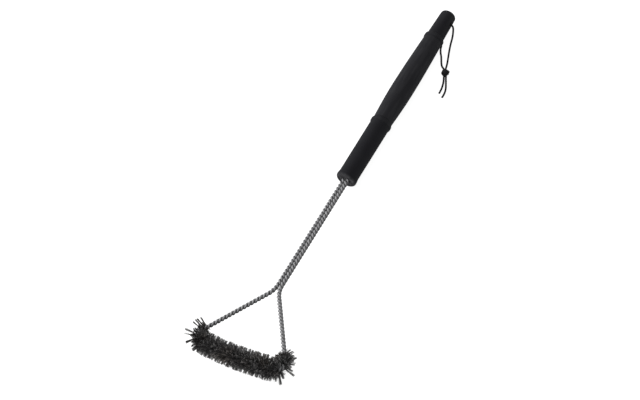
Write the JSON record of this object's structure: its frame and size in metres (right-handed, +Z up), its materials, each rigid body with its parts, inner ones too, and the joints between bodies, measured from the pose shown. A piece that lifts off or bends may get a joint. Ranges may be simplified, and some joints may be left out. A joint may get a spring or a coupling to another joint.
{
  "type": "grill cleaning brush",
  "caption": "Long grill brush: black moulded handle, paired twisted wire stem forking to a bowed bar of dark wire bristles with bristled corners, and a hanging lace through the butt.",
  "frame": {"origin": "on the surface the brush lies on, under the middle of the length and width of the brush without its lace", "axes": "+X along the handle towards its butt, +Y along the head's bar, +Z up from the surface the brush lies on"},
  "size_m": [0.533, 0.1438, 0.0276],
  "materials": {
    "handle_plastic": "satin black moulded plastic",
    "wire_steel": "bright drawn steel wire",
    "bristle_steel": "dark oiled steel wire",
    "lace_cord": "matte black braided cord"
  },
  "bodies": {
    "root": {"handle": "handle_plastic", "shaft_wire_left_1": "wire_steel", "shaft_wire_left_2": "wire_steel", "shaft_wire_right_1": "wire_steel", "shaft_wire_right_2": "wire_steel", "arm_wire_left_1": "wire_steel", "arm_wire_left_2": "wire_steel", "arm_wire_right_1": "wire_steel", "arm_wire_right_2": "wire_steel", "bar_wire_1": "wire_steel", "bar_wire_2": "wire_steel", "bar_bunch_01": "bristle_steel", "bar_bunch_02": "bristle_steel", "bar_bunch_03": "bristle_steel", "bar_bunch_04": "bristle_steel", "bar_bunch_05": "bristle_steel", "bar_bunch_06": "bristle_steel", "bar_bunch_07": "bristle_steel", "bar_bunch_08": "bristle_steel", "bar_bunch_09": "bristle_steel", "bar_bunch_10": "bristle_steel", "bar_bunch_11": "bristle_steel", "bar_bunch_12": "bristle_steel", "bar_bunch_13": "bristle_steel", "bar_bunch_14": "bristle_steel", "bar_bunch_15": "bristle_steel", "bar_bunch_16": "bristle_steel", "bar_bunch_17": "bristle_steel", "bar_bunch_18": "bristle_steel", "corner_tuft_left": "bristle_steel", "corner_tuft_right": "bristle_steel", "lace_near_strand": "lace_cord", "lace_far_strand": "lace_cord", "lace_knot": "lace_cord", "lace_tail_1": "lace_cord", "lace_tail_2": "lace_cord"}
  },
  "joints": []
}
